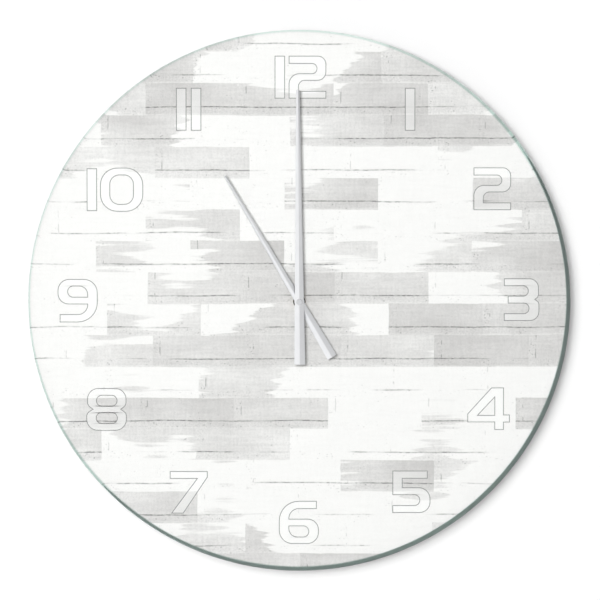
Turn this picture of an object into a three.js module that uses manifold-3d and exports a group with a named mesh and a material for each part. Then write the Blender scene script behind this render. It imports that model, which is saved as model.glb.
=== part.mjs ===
// Frameless round wall clock: a printed glass disc stuck on a quartz movement, with two ridged hands.
// The clock is drawn as a dial in millimetres: x to the right, y up and z from the wall to the viewer.
// The group at the end stands the dial upright, so that it faces -Y with +Z up and the wall at y = 0.

import * as THREE from 'three';
import { mergeVertices } from 'three/addons/utils/BufferGeometryUtils.js';
import { ConvexGeometry } from 'three/addons/geometries/ConvexGeometry.js';
import Module from 'manifold-3d';

const wasm = await Module();
wasm.setup();

// Glass disc, print on its back and the foam pad that holds the movement
const discRadius = 150;
const glassThickness = 4;
const glassRimRound = 1.9;
const glassHoleRadius = 3.45;
const clearRim = 1.4;
const printThickness = 0.2;
const padThickness = 1;
const padInset = 1;
const padHoleGap = 0.3;

// Spacers near the lower rim, as deep as the movement
const spacerRadius = 7;
const spacerWallRadius = 5.5;
const spacerEdge = 0.6;
const spacerInset = 24;
const spacerAngle = 30;

// Hands
const minuteReach = 117;
const minuteTail = 34.7;
const minuteTipWidth = 2;
const minuteTailWidth = 6;
const hourReach = 80.8;
const hourTail = 35.7;
const hourTipWidth = 1.6;
const hourTailWidth = 5.6;
const handEdge = 0.25;
const handRidge = 1;
const handFit = 0.05;
const hourCollarWall = 0.3;
const hourCollarDepth = 0.4;
const collarStep = 0.2;
const hourTubeLead = 0.5;
const glassToHand = 0.5;
const handToHand = 0.45;
const hourShown = 11;
const hourLean = 0.5;
const minuteLean = 0.4;

// Movement mouldings
const mouldingWall = 1.2;
const coverThickness = 1.2;
const caseCorner = 3;
const plateThickness = 0.8;
const postRadius = 1.6;
const pinRadius = 0.7;
const pinHeight = 0.6;
const pinFit = 0.15;
const seatRadius = 1.5;
const slotFit = 0.15;
const coverLipWall = 0.8;
const coverLipLength = 12;
const coverLipDepth = 1.2;
const locatingWall = 2.35;
const locatingHeight = 0.8;

// Arbors and bearings
const arborRadius = 0.45;
const pivotRadius = 0.3;
const pivotFit = 0.1;
const endPlay = 0.1;
const bearingWall = 0.8;
const bearingHeight = 0.8;
const minuteArborRadius = 1.65;
const minuteBoreRadius = 0.8;
const minuteSeatRadius = 1.2;
const minuteFlangeRadius = 2.2;
const minuteFlangeHeight = 0.6;
const hourTubeWall = 0.65;
const tubeFit = 0.2;
const coverBearingFit = 0.15;
const capOverhang = 0.13;
const capHeight = 0.5;
const capStemLength = 1;
const settingArborRadius = 1;
const settingPivotRadius = 0.6;

// Clearances of pieces that stand free of each other, and the depths of the train's levels
const partGap = 0.4;
const runningGap = 0.2;
const levelGap = 1.2;
const magnetSetBack = 0.3;
const seatLead = 0.5;
const cannonLead = 0.3;
const coverBearingHeight = 1.4;
const trainToBay = 1.8;
const wellToBoard = 2.6;
const boardToBay = 1;
const postGap = 1.6;
const plateMargin = 0.6;
const windingSetIn = 0.3;
const contactRunGap = 0.3;

// Wheel train: tooth counts, centre distances and directions seen from the front
const wheelFace = 0.6;
const rotorTeeth = 8;
const intermediateTeeth = 40;
const intermediatePinionTeeth = 8;
const secondTeeth = 48;
const secondPinionTeeth = 8;
const thirdTeeth = 60;
const thirdPinionTeeth = 8;
const centreTeeth = 64;
const cannonTeeth = 12;
const settingTeeth = 36;
const settingPinionTeeth = 10;
const hourTeeth = 40;
const rotorDistance = 6;
const intermediateDistance = 8.4;
const thirdDistance = 8.5;
const settingDistance = 9.6;
const rotorDirection = 90;
const intermediateDirection = 100;
const thirdDirection = 170;
const settingDirection = 0;

// Tooth form, as shares of the module and of the tooth pitch
const wheelTooth = { addendum: 0.9, dedendum: 1.1, tip: 0.24, root: 0.54 };
const pinionTooth = { addendum: 0.75, dedendum: 1.25, tip: 0.22, root: 0.4 };

// Setting knob in its well
const knobRadius = 4;
const knobFlute = 0.3;
const knobFlutes = 20;
const knobThickness = 1.9;
const knobSetBack = 0.4;
const knobFloor = 0.4;
const wellGap = 0.4;
const wellWall = 0.8;
const wellFloor = 1;
const wellEndGap = 0.3;

// Stepping motor
const magnetRadius = 2.75;
const magnetHeight = 2;
const statorAirGap = 0.6;
const statorBridge = 0.85;
const statorThickness = 1;
const statorEarWidth = 4;
const statorSeatInset = 2.5;
const coreThickness = 0.8;
const coreWidth = 3.2;
const coreLength = 31;
const coilLength = 18;
const coilHalf = 3.5;
const bobbinWall = 0.5;
const bobbinFlange = 1;
const bobbinFit = 0.1;

// Circuit board
const boardWidth = 9;
const boardLength = 24.5;
const boardThickness = 1;
const boardHeight = 1.8;
const crystalRadius = 1;
const crystalLength = 6;
const chipRadius = 2.6;
const chipHeight = 0.9;

// AA cell and its contacts
const cellRadius = 7.25;
const cellBody = 49.2;
const cellNubRadius = 2.75;
const cellNub = 1.2;
const cellEdge = 0.6;
const cellFit = 0.35;
const cellToCover = 0.2;
const cellToContact = 0.25;
const contactThickness = 0.4;
const contactHeight = 5;
const contactToWall = 0.4;
const leafBulge = 1.4;
const leafLength = 8;
const contactTail = 2.6;
const fingerNotchRadius = 7;

// Hanger
const hangerThickness = 1.2;
const hangerWidth = 20;
const hangerHeight = 12.5;
const hangerCorner = 7;
const hangerSlotWidth = 9;
const hangerSlotHeight = 6;
const hangerSlotCorner = 2;
const hangerBand = 3;
const hangerFootWidth = 14;
const hangerToWall = 1.6;
const hangerFootReach = 0.7;

// Facets of round shapes
const discFacets = 108;
const fineFacets = 24;
const coarseFacets = 12;
const cornerFacets = 4;
const rimFacets = 2;
const over = 1;

// Points in the plane
const at = (distance, degrees, from = new THREE.Vector2()) => {
  const angle = THREE.MathUtils.degToRad(degrees);
  return new THREE.Vector2(Math.cos(angle), Math.sin(angle)).multiplyScalar(distance).add(from);
};

function arc(x, y, radius, from, to, facets) {
  const centre = new THREE.Vector2(x, y);
  return Array.from({ length: facets + 1 }, (_, i) => at(radius, from + ((to - from) * i) / facets, centre));
}

function circle(radius, facets = fineFacets, centre = new THREE.Vector2()) {
  return arc(centre.x, centre.y, radius, 0, 360, facets).slice(0, -1);
}

function roundedRect(left, bottom, right, top, corner) {
  return [
    ...arc(right - corner, top - corner, corner, 0, 90, cornerFacets),
    ...arc(left + corner, top - corner, corner, 90, 180, cornerFacets),
    ...arc(left + corner, bottom + corner, corner, 180, 270, cornerFacets),
    ...arc(right - corner, bottom + corner, corner, 270, 360, cornerFacets),
  ];
}

// Solids
function solid(geometry) {
  geometry.deleteAttribute('normal');
  geometry.deleteAttribute('uv');
  const merged = mergeVertices(geometry);
  const corners = merged.index.array;
  const kept = [];
  for (let i = 0; i < corners.length; i += 3) {
    const [a, b, c] = corners.slice(i, i + 3);
    if (a !== b && b !== c && c !== a) kept.push(a, b, c);
  }
  const vertProperties = new Float32Array(merged.attributes.position.array);
  return new wasm.Manifold(new wasm.Mesh({ numProp: 3, vertProperties, triVerts: new Uint32Array(kept) }));
}

function prism(outline, holes, bottom, top) {
  const shape = new THREE.Shape(outline);
  shape.holes = holes.map((points) => new THREE.Path(points));
  const geometry = new THREE.ExtrudeGeometry(shape, { depth: top - bottom, bevelEnabled: false });
  return solid(geometry.translate(0, 0, bottom));
}

const rod = (radius, bottom, top, centre, facets = fineFacets) =>
  prism(circle(radius, facets, centre), [], bottom, top);

const tube = (outer, inner, bottom, top, centre, facets = fineFacets) =>
  prism(circle(outer, facets, centre), [circle(inner, facets, centre)], bottom, top);

function box(left, right, low, high, back, front) {
  const geometry = new THREE.BoxGeometry(right - left, high - low, front - back);
  return solid(geometry.translate((left + right) / 2, (low + high) / 2, (back + front) / 2));
}

// A closed profile of [radius, height] pairs turned about z
function revolve(profile, facets) {
  const points = [...profile, profile[0]].map(([radius, height]) => new THREE.Vector2(radius, height));
  return solid(new THREE.LatheGeometry(points, facets).rotateX(Math.PI / 2));
}

const join = (first, ...others) => others.reduce((whole, piece) => whole.add(piece), first);
const cut = (first, ...others) => others.reduce((whole, piece) => whole.subtract(piece), first);

// A gear is its teeth, module, tooth form, axis and the angle, in degrees, of the middle of one tooth
function gearOutline({ teeth, module, form, axis, phase }) {
  const pitch = 360 / teeth;
  const root = (teeth * module) / 2 - form.dedendum * module;
  const tip = (teeth * module) / 2 + form.addendum * module;
  const points = [];
  for (let i = 0; i < teeth; i += 1) {
    const middle = phase + i * pitch;
    points.push(at(root, middle - (form.root * pitch) / 2, axis));
    points.push(at(tip, middle - (form.tip * pitch) / 2, axis));
    points.push(at(tip, middle + (form.tip * pitch) / 2, axis));
    points.push(at(root, middle + (form.root * pitch) / 2, axis));
  }
  return points;
}

const gear = (spec, bottom, top) => prism(gearOutline(spec), [], bottom, top);

// A pinion and the wheel that it meshes with: the wheel has a gap where the pinion's tooth meets it
function meshedPair(pinionTeeth, wheelTeeth, pinionAxis, wheelAxis) {
  const line = wheelAxis.clone().sub(pinionAxis);
  const module = (2 * line.length()) / (pinionTeeth + wheelTeeth);
  const direction = THREE.MathUtils.radToDeg(line.angle());
  const teethAhead = (-direction * pinionTeeth) / 360;
  const phase = direction + 180 - (360 / wheelTeeth) * (teethAhead + 0.5);
  return {
    pinion: { teeth: pinionTeeth, module, form: pinionTooth, axis: pinionAxis, phase: 0 },
    wheel: { teeth: wheelTeeth, module, form: wheelTooth, axis: wheelAxis, phase },
  };
}

// Axes of the train
const centreAxis = new THREE.Vector2();
const settingAxis = at(settingDistance, settingDirection);
const thirdAxis = at(thirdDistance, thirdDirection);
const intermediateAxis = at(intermediateDistance, intermediateDirection);
const rotorAxis = at(rotorDistance, rotorDirection, intermediateAxis);

const rotorMesh = meshedPair(rotorTeeth, intermediateTeeth, rotorAxis, intermediateAxis);
const intermediateMesh = meshedPair(intermediatePinionTeeth, secondTeeth, intermediateAxis, centreAxis);
const secondMesh = meshedPair(secondPinionTeeth, thirdTeeth, centreAxis, thirdAxis);
const thirdMesh = meshedPair(thirdPinionTeeth, centreTeeth, thirdAxis, centreAxis);
const cannonMesh = meshedPair(cannonTeeth, settingTeeth, centreAxis, settingAxis);
const settingMesh = meshedPair(settingPinionTeeth, hourTeeth, settingAxis, centreAxis);

// Depths from the wall, each level stacked on the one behind it
const knobFront = knobSetBack + knobThickness;
const wellFloorBack = knobFront + wellEndGap;
const wellFront = wellFloorBack + wellFloor;
const bearingTop = mouldingWall + bearingHeight;
const intermediateBack = bearingTop + runningGap;
const intermediateFront = intermediateBack + wheelFace;
const secondBack = wellFront + partGap + runningGap;
const secondFront = secondBack + wheelFace;
const thirdBack = secondFront + levelGap;
const thirdFront = thirdBack + wheelFace;
const centreBack = thirdFront + levelGap;
const centreFront = centreBack + wheelFace;
const flangeBack = centreFront + runningGap;
const flangeFront = flangeBack + minuteFlangeHeight;
const plateBack = flangeFront + partGap;
const plateFront = plateBack + plateThickness;
const settingBack = plateFront + partGap + runningGap;
const settingFront = settingBack + wheelFace;
const hourBack = settingFront + 2 * partGap;
const hourFront = hourBack + wheelFace;
const coverBearingBack = hourFront + partGap;
const trainDepth = coverBearingBack + coverBearingHeight;
const caseDepth = Math.max(trainDepth, 2 * cellRadius + 1.5 * cellToCover);
const coverFront = caseDepth + coverThickness;
const printBack = coverFront + padThickness;
const glassBack = printBack + printThickness;
const glassFront = glassBack + glassThickness;
const hourCollarBack = glassFront + glassToHand;
const hourCollarFront = hourCollarBack + hourCollarDepth;
const hourTubeFront = hourCollarFront + hourTubeLead;
const hourHandBack = hourCollarBack + collarStep;
const hourHandFront = hourHandBack + handEdge + handRidge;
const minuteHandBack = hourHandFront + handToHand;
const minuteArborFront = minuteHandBack + handEdge + handRidge;

// Outline of the movement, as large as what it holds
const hourTubeInner = minuteArborRadius + tubeFit;
const hourTubeRadius = hourTubeInner + hourTubeWall;
const wellRadius = knobRadius + wellGap;
const wellOuter = wellRadius + wellWall;
const statorHole = magnetRadius + statorAirGap;
const statorBottom = rotorAxis.y - statorHole - statorBridge;
const statorTop = rotorAxis.y + statorHole + statorBridge;
const coilY = statorTop + partGap + coilHalf;
const cellLength = cellBody + cellNub;
const bayHalf = (cellLength + 2 * (cellToContact + contactThickness + contactToWall) + leafBulge) / 2;
const boardSide = settingAxis.x + wellOuter + wellToBoard;
const innerRight = Math.max(bayHalf, boardSide + boardWidth + partGap);
const innerTop = coilY + coilHalf + 2 * partGap;
const trainBottom = -(thirdDistance + trainToBay);
const bayTop = trainBottom - mouldingWall;
const bayBottom = bayTop - 2 * (cellRadius + cellFit);
const cellY = (bayTop + bayBottom) / 2;
const cellZ = cellRadius + 0.5 * cellToCover;
const caseRight = innerRight + mouldingWall;
const caseTop = innerTop + mouldingWall;
const caseBottom = bayBottom - mouldingWall;
const boardRight = innerRight - partGap;
const boardLeft = boardRight - boardWidth;
const boardBottom = trainBottom + boardToBay;
const boardTop = boardBottom + boardLength;
const boardBack = mouldingWall + boardHeight;
const boardFront = boardBack + boardThickness;
const contactBack = boardFront;
const contactFront = contactBack + contactHeight;
const magnetBack = secondBack - magnetSetBack;
const statorBack = magnetBack + (magnetHeight - statorThickness) / 2;
const statorFront = statorBack + statorThickness;
const coreFront = statorFront + coreThickness;
const coilZ = (statorFront + coreFront) / 2;
const coreLeft = rotorAxis.x - coreLength / 2;
const coreRight = rotorAxis.x + coreLength / 2;

// Seats moulded in the case, each rooted half way into the rear wall
const mouldingRoot = mouldingWall / 2;
const postRow = trainBottom + postRadius + 3 * partGap;
const posts = [
  new THREE.Vector2(coreLeft - postRadius - postGap, postRow),
  new THREE.Vector2(coreLeft - postRadius - postGap, coilY),
  new THREE.Vector2(boardLeft - postRadius - postGap, postRow),
  new THREE.Vector2(boardLeft + postRadius, coilY),
];
const statorSeats = [
  new THREE.Vector2(coreLeft + statorSeatInset, rotorAxis.y),
  new THREE.Vector2(coreRight - statorSeatInset, rotorAxis.y),
];
const boardSeats = [
  new THREE.Vector2(boardRight - seatRadius, boardBottom + seatRadius + 2 * contactTail),
  new THREE.Vector2(boardRight - seatRadius, boardTop - seatRadius),
  new THREE.Vector2(boardLeft + seatRadius, boardTop - seatRadius),
];

// Disc, print, pad and spacers
function glassDisc() {
  const edge = discRadius - glassRimRound;
  const rim = [
    ...arc(edge, glassRimRound, glassRimRound, -90, 0, rimFacets),
    ...arc(edge, glassThickness - glassRimRound, glassRimRound, 0, 90, rimFacets),
  ];
  const profile = [
    [glassHoleRadius, 0],
    ...rim.map(({ x, y }) => [x, y]),
    [glassHoleRadius, glassThickness],
  ];
  return revolve(profile, discFacets);
}

const printFilm = () =>
  prism(circle(discRadius - clearRim, discFacets), [circle(glassHoleRadius)], printBack, glassBack);

const locatingRadius = hourTubeRadius + coverBearingFit + locatingWall;

function adhesivePad() {
  const corner = caseCorner - padInset;
  const right = caseRight - padInset;
  const outline = roundedRect(-right, caseBottom + padInset, right, caseTop - padInset, corner);
  return prism(outline, [circle(locatingRadius + padHoleGap)], coverFront, printBack);
}

function spacer(side) {
  const centre = at(discRadius - spacerInset, 270 + side * spacerAngle);
  const profile = [
    [0, 0],
    [spacerWallRadius - spacerEdge, 0],
    [spacerWallRadius, spacerEdge],
    [spacerRadius, printBack],
    [0, printBack],
  ];
  return revolve(profile, fineFacets).translate([centre.x, centre.y, 0]);
}

// Hands: a folded blade with a ridge along its middle, pointing up
function blade(reach, tail, tipWidth, tailWidth) {
  const section = (y, width) => [
    new THREE.Vector3(-width / 2, y, 0),
    new THREE.Vector3(width / 2, y, 0),
    new THREE.Vector3(-width / 2, y, handEdge),
    new THREE.Vector3(width / 2, y, handEdge),
    new THREE.Vector3(0, y, handEdge + handRidge),
  ];
  return solid(new ConvexGeometry([...section(reach, tipWidth), ...section(-tail, tailWidth)]));
}

function minuteHand() {
  const bore = rod(minuteArborRadius + handFit, -over, handEdge + handRidge + over);
  return cut(blade(minuteReach, minuteTail, minuteTipWidth, minuteTailWidth), bore);
}

function hourHand() {
  const boreRadius = hourTubeRadius + handFit;
  const collar = rod(boreRadius + hourCollarWall, -collarStep, hourCollarDepth - collarStep);
  const bore = rod(boreRadius, -collarStep - over, handEdge + handRidge + over);
  return cut(join(blade(hourReach, hourTail, hourTipWidth, hourTailWidth), collar), bore);
}

function handCap() {
  const radius = minuteArborRadius + capOverhang;
  const dome = capHeight / 2;
  const profile = [
    [0, -capStemLength],
    [minuteBoreRadius - pivotFit, -capStemLength],
    [minuteBoreRadius - pivotFit, 0],
    [radius, 0],
    [radius, dome],
    [radius - dome, capHeight],
    [0, capHeight],
  ];
  return revolve(profile, fineFacets);
}

// Arbors that carry the hands
function minuteArbor() {
  const seatBack = centreBack - seatLead;
  const cannonBack = settingBack - endPlay;
  const cannonFront = settingFront + cannonLead;
  const body = join(
    rod(minuteSeatRadius, seatBack, flangeFront),
    rod(minuteFlangeRadius, flangeBack, flangeFront),
    rod(minuteArborRadius, flangeBack, minuteArborFront),
    gear(cannonMesh.pinion, cannonBack, cannonFront),
  );
  return cut(body, rod(minuteBoreRadius, seatBack - over, minuteArborFront + over, centreAxis, coarseFacets));
}

function hourWheel() {
  const body = join(
    gear(settingMesh.wheel, hourBack, hourFront),
    rod(hourTubeRadius, hourBack, hourTubeFront),
  );
  return cut(body, rod(hourTubeInner, hourBack - over, hourTubeFront + over));
}

// Setting wheel, its arbor and knob
function settingWheel() {
  const pinionFront = hourFront + runningGap;
  return join(
    rod(settingArborRadius, knobSetBack + knobFloor, settingFront, settingAxis, coarseFacets),
    gear(cannonMesh.wheel, settingBack, settingFront),
    gear(settingMesh.pinion, settingBack, pinionFront),
    rod(settingPivotRadius, settingBack, caseDepth - endPlay, settingAxis, coarseFacets),
  );
}

function settingKnob() {
  const outline = Array.from({ length: 2 * knobFlutes }, (_, i) =>
    at(i % 2 ? knobRadius : knobRadius - knobFlute, (180 * i) / knobFlutes, settingAxis));
  const floor = knobSetBack + knobFloor;
  const socket = rod(settingArborRadius + handFit, floor, knobFront + over, settingAxis, coarseFacets);
  return cut(prism(outline, [], knobSetBack, knobFront), socket);
}

// Going train: an arbor with pivots at both ends carries each wheel and pinion
function trainArbor(axis) {
  const shoulderBack = bearingTop + endPlay;
  const shoulderFront = plateBack - endPlay;
  return join(
    rod(pivotRadius, mouldingWall + endPlay, plateFront - endPlay, axis, coarseFacets),
    rod(arborRadius, shoulderBack, shoulderFront, axis, coarseFacets),
  );
}

const rotorPinion = () => join(
  trainArbor(rotorAxis),
  gear(rotorMesh.pinion, intermediateBack - endPlay, intermediateFront + endPlay),
);

const rotorMagnet = () =>
  tube(magnetRadius, arborRadius + handFit, magnetBack, magnetBack + magnetHeight, rotorAxis);

const intermediateWheel = () => join(
  trainArbor(intermediateAxis),
  gear(rotorMesh.wheel, intermediateBack, intermediateFront),
  gear(intermediateMesh.pinion, intermediateBack, secondFront + endPlay),
);

function secondWheel() {
  const shoulderBack = bearingTop + endPlay;
  const arborFront = minuteArborFront - capStemLength - partGap;
  return join(
    rod(pivotRadius, mouldingWall + endPlay, secondFront, centreAxis, coarseFacets),
    rod(arborRadius, shoulderBack, arborFront, centreAxis, coarseFacets),
    gear(intermediateMesh.wheel, secondBack, secondFront),
    gear(secondMesh.pinion, secondBack, thirdFront + endPlay),
  );
}

const thirdWheel = () => join(
  trainArbor(thirdAxis),
  gear(secondMesh.wheel, thirdBack, thirdFront),
  gear(thirdMesh.pinion, thirdBack, centreFront + endPlay),
);

const centreWheel = () => cut(
  gear(thirdMesh.wheel, centreBack, centreFront),
  rod(minuteSeatRadius + pivotFit, centreBack - over, centreFront + over),
);

// Rear moulding: walls, cell bay, knob well, bearings, posts and seats
function movementCase() {
  const outline = roundedRect(-caseRight, caseBottom, caseRight, caseTop, caseCorner);
  const innerCorner = caseCorner - mouldingWall;
  const cavity = roundedRect(-innerRight, trainBottom, innerRight, innerTop, innerCorner);
  const bay = roundedRect(-innerRight, bayBottom, innerRight, bayTop, innerCorner);
  const shell = cut(
    prism(outline, [], 0, caseDepth),
    prism(cavity, [], mouldingWall, caseDepth + over),
    prism(bay, [], -over, caseDepth + over),
  );
  const pivotHole = pivotRadius + pivotFit;
  const bearings = [centreAxis, thirdAxis, intermediateAxis, rotorAxis].map((axis) =>
    tube(pivotHole + bearingWall, pivotHole, mouldingRoot, bearingTop, axis, coarseFacets));
  const seat = (point, radius, height, pin) => join(
    rod(radius, mouldingRoot, height, point, coarseFacets),
    rod(pinRadius, mouldingRoot, height + pin, point, coarseFacets),
  );
  const seats = [
    ...posts.map((point) => seat(point, postRadius, plateBack, plateThickness + pinHeight)),
    ...statorSeats.map((point) => seat(point, seatRadius, statorBack, statorThickness + pinHeight)),
    ...boardSeats.map((point) => seat(point, seatRadius, boardBack, boardThickness + pinHeight)),
  ];
  const well = rod(wellOuter, 0, wellFront, settingAxis);
  const slotFront = contactFront + slotFit;
  const slotWidth = contactThickness / 2 + slotFit;
  const contactSlots = [-contactX, contactX].map((x) =>
    box(x - slotWidth, x + slotWidth, bayTop - over, trainBottom + over, contactBack - slotFit, slotFront));
  return cut(
    join(shell, ...bearings, ...seats, well),
    rod(wellRadius, -over, wellFloorBack, settingAxis),
    rod(settingArborRadius + slotFit, -over, wellFront + over, settingAxis, coarseFacets),
    ...contactSlots,
    hangerSocket(),
    fingerNotch(),
  );
}

const hangerSocket = () => box(
  -hangerFootWidth / 2 - slotFit, hangerFootWidth / 2 + slotFit,
  innerTop - over, caseTop + over,
  hangerToWall - slotFit, hangerToWall + hangerThickness + slotFit,
);

function fingerNotch() {
  const depth = mouldingWall + 2 * over;
  const geometry = new THREE.CylinderGeometry(fingerNotchRadius, fingerNotchRadius, depth, fineFacets);
  return solid(geometry.translate(0, caseBottom + mouldingWall / 2, 0));
}

// Front cover: bearings on its back, lips inside the case walls and a ring that centres the pad
function movementCover() {
  const outline = roundedRect(-caseRight, caseBottom, caseRight, caseTop, caseCorner);
  const tubeHole = hourTubeRadius + coverBearingFit;
  const settingHole = settingPivotRadius + pivotFit;
  const lipBack = caseDepth - coverLipDepth;
  const lipOut = innerRight - slotFit;
  const lipTop = innerTop - slotFit;
  const half = coverLipLength / 2;
  const coverRoot = caseDepth + coverThickness / 2;
  const middle = (innerTop + trainBottom) / 2;
  const body = join(
    prism(outline, [], caseDepth, coverFront),
    rod(tubeHole + locatingWall / 2, coverBearingBack, coverRoot),
    rod(settingHole + bearingWall, coverBearingBack, coverRoot, settingAxis, coarseFacets),
    rod(locatingRadius, coverRoot, coverFront + locatingHeight),
    box(-lipOut, -lipOut + coverLipWall, middle - half, middle + half, lipBack, coverRoot),
    box(lipOut - coverLipWall, lipOut, middle - half, middle + half, lipBack, coverRoot),
    box(-half, half, lipTop - coverLipWall, lipTop, lipBack, coverRoot),
  );
  return cut(
    body,
    rod(tubeHole, coverBearingBack - over, coverFront + locatingHeight + over),
    rod(settingHole, coverBearingBack - over, caseDepth, settingAxis, coarseFacets),
  );
}

// Plate between the going train and the motion work
function trainPlate() {
  const margin = postRadius + plateMargin;
  const left = posts[0].x - margin;
  const right = posts[3].x + margin;
  const outline = roundedRect(left, posts[0].y - margin, right, posts[1].y + margin, margin);
  const pivotHoles = [thirdAxis, intermediateAxis, rotorAxis].map((axis) =>
    circle(pivotRadius + pivotFit, coarseFacets, axis));
  const holes = [
    circle(minuteArborRadius + tubeFit),
    circle(settingArborRadius + slotFit, coarseFacets, settingAxis),
    ...pivotHoles,
    ...posts.map((point) => circle(pinRadius + pinFit, coarseFacets, point)),
  ];
  return prism(outline, holes, plateBack, plateFront);
}

// Motor: stator plate round the magnet, with ears under the ends of the coil's core
function stator() {
  const earTop = coilY + coreWidth / 2;
  const outline = [
    new THREE.Vector2(coreLeft, statorBottom),
    new THREE.Vector2(coreRight, statorBottom),
    new THREE.Vector2(coreRight, earTop),
    new THREE.Vector2(coreRight - statorEarWidth, earTop),
    new THREE.Vector2(coreRight - statorEarWidth, statorTop),
    new THREE.Vector2(coreLeft + statorEarWidth, statorTop),
    new THREE.Vector2(coreLeft + statorEarWidth, earTop),
    new THREE.Vector2(coreLeft, earTop),
  ];
  const pins = statorSeats.map((point) => circle(pinRadius + pinFit, coarseFacets, point));
  return prism(outline, [circle(statorHole, fineFacets, rotorAxis), ...pins], statorBack, statorFront);
}

const coilCore = () =>
  box(coreLeft, coreRight, coilY - coreWidth / 2, coilY + coreWidth / 2, statorFront, coreFront);

// A square sleeve about the core, from its inner to its outer half width
function sleeve(left, right, height, depth, innerHeight, innerDepth) {
  const about = (from, to, halfY, halfZ) =>
    box(from, to, coilY - halfY, coilY + halfY, coilZ - halfZ, coilZ + halfZ);
  return cut(about(left, right, height, depth), about(left - over, right + over, innerHeight, innerDepth));
}

const boreHeight = coreWidth / 2 + bobbinFit;
const boreDepth = coreThickness / 2 + bobbinFit;
const coilLeft = rotorAxis.x - coilLength / 2;
const coilRight = rotorAxis.x + coilLength / 2;

function coilBobbin() {
  const flange = (left, right) => sleeve(left, right, coilHalf, coilHalf, boreHeight, boreDepth);
  return join(
    sleeve(coilLeft, coilRight, boreHeight + bobbinWall, boreDepth + bobbinWall, boreHeight, boreDepth),
    flange(coilLeft - bobbinFlange, coilLeft),
    flange(coilRight, coilRight + bobbinFlange),
  );
}

function coilWinding() {
  const outer = coilHalf - windingSetIn;
  const height = boreHeight + bobbinWall + bobbinFit;
  const depth = boreDepth + bobbinWall + bobbinFit;
  return sleeve(coilLeft + bobbinFit, coilRight - bobbinFit, outer, outer, height, depth);
}

// Circuit board and what is soldered on it
function circuitBoard() {
  const outline = roundedRect(boardLeft, boardBottom, boardRight, boardTop, 0.5);
  const pins = boardSeats.map((point) => circle(pinRadius + pinFit, coarseFacets, point));
  return prism(outline, pins, boardBack, boardFront);
}

const boardMiddle = new THREE.Vector2((boardLeft + boardRight) / 2, (boardBottom + boardTop) / 2);

function crystalCan() {
  const geometry = new THREE.CylinderGeometry(crystalRadius, crystalRadius, crystalLength, coarseFacets);
  const z = boardFront + crystalRadius + pivotFit;
  return solid(geometry.translate(boardMiddle.x - 1, boardMiddle.y + crystalLength / 2 + partGap, z));
}

function chip() {
  const dome = [0, 30, 60, 90].map((rise) => {
    const { x, y } = at(1, rise);
    return [rise < 90 ? chipRadius * x : 0, chipHeight * y];
  });
  const profile = [[0, 0], ...dome];
  const blob = revolve(profile, coarseFacets);
  return blob.translate([boardMiddle.x, boardMiddle.y - chipRadius - partGap, boardFront]);
}

// Cell along x, its nub to the right
const cellRight = innerRight - contactToWall - contactThickness - cellToContact;
const cellLeft = cellRight - cellLength;
const contactX = innerRight - contactToWall - contactThickness / 2;

function cell() {
  const shoulder = cellBody - cellEdge;
  const profile = [
    [0, 0],
    [cellRadius - cellEdge, 0],
    [cellRadius, cellEdge],
    [cellRadius, shoulder],
    [cellRadius - cellEdge, cellBody],
    [cellNubRadius, cellBody],
    [cellNubRadius, cellLength],
    [0, cellLength],
  ];
  const points = [...profile, profile[0]].map(([radius, height]) => new THREE.Vector2(radius, height));
  const geometry = new THREE.LatheGeometry(points, fineFacets).rotateZ(-Math.PI / 2);
  return solid(geometry.translate(cellLeft, cellY, cellZ));
}

// A bent strip of even thickness along a path in the plane, standing on the board's front
function strip(path) {
  const half = contactThickness / 2;
  const side = (sign) => path.map((point, i) => {
    const before = point.clone().sub(path[Math.max(i - 1, 0)]).normalize();
    const after = path[Math.min(i + 1, path.length - 1)].clone().sub(point).normalize();
    const way = before.clone().add(after).normalize();
    const along = i > 0 ? before : after;
    const normal = new THREE.Vector2(-way.y, way.x);
    const stretch = normal.dot(new THREE.Vector2(-along.y, along.x));
    return point.clone().addScaledVector(normal, (sign * half) / stretch);
  });
  return prism([...side(-1), ...side(1).reverse()], [], contactBack, contactFront);
}

const leafEnd = cellY - leafLength / 2 - contactTail / 2;
const tailTop = boardBottom + contactTail;

const positiveContact = () =>
  strip([new THREE.Vector2(contactX, leafEnd), new THREE.Vector2(contactX, tailTop)]);

function negativeContact() {
  const runY = trainBottom + contactRunGap + contactThickness / 2;
  const bulgeX = cellLeft - cellToContact - contactThickness;
  const tailX = boardLeft + seatRadius;
  return strip([
    new THREE.Vector2(-contactX, leafEnd),
    new THREE.Vector2(-contactX, cellY - leafLength / 2),
    new THREE.Vector2(bulgeX, cellY),
    new THREE.Vector2(-contactX, cellY + leafLength / 2),
    new THREE.Vector2(-contactX, runY),
    new THREE.Vector2(tailX, runY),
    new THREE.Vector2(tailX, tailTop),
  ]);
}

// Steel hanger: an arched eye with a foot in the case's top wall
function hanger() {
  const right = hangerWidth / 2;
  const bottom = caseTop + slotFit;
  const top = bottom + hangerHeight;
  const eyeTop = top - hangerBand;
  const outline = [
    new THREE.Vector2(-right, bottom),
    new THREE.Vector2(right, bottom),
    ...arc(right - hangerCorner, top - hangerCorner, hangerCorner, 0, 90, cornerFacets),
    ...arc(-right + hangerCorner, top - hangerCorner, hangerCorner, 90, 180, cornerFacets),
  ];
  const half = hangerSlotWidth / 2;
  const eye = roundedRect(-half, eyeTop - hangerSlotHeight, half, eyeTop, hangerSlotCorner);
  const front = hangerToWall + hangerThickness;
  const foot = hangerFootWidth / 2;
  return join(
    prism(outline, [eye], hangerToWall, front),
    box(-foot, foot, innerTop - hangerFootReach, bottom + over, hangerToWall, front),
  );
}

// Finishes
const finish = (color, roughness, metalness = 0, opacity = 1) =>
  new THREE.MeshStandardMaterial({ color, roughness, metalness, opacity, transparent: opacity < 1 });

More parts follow.
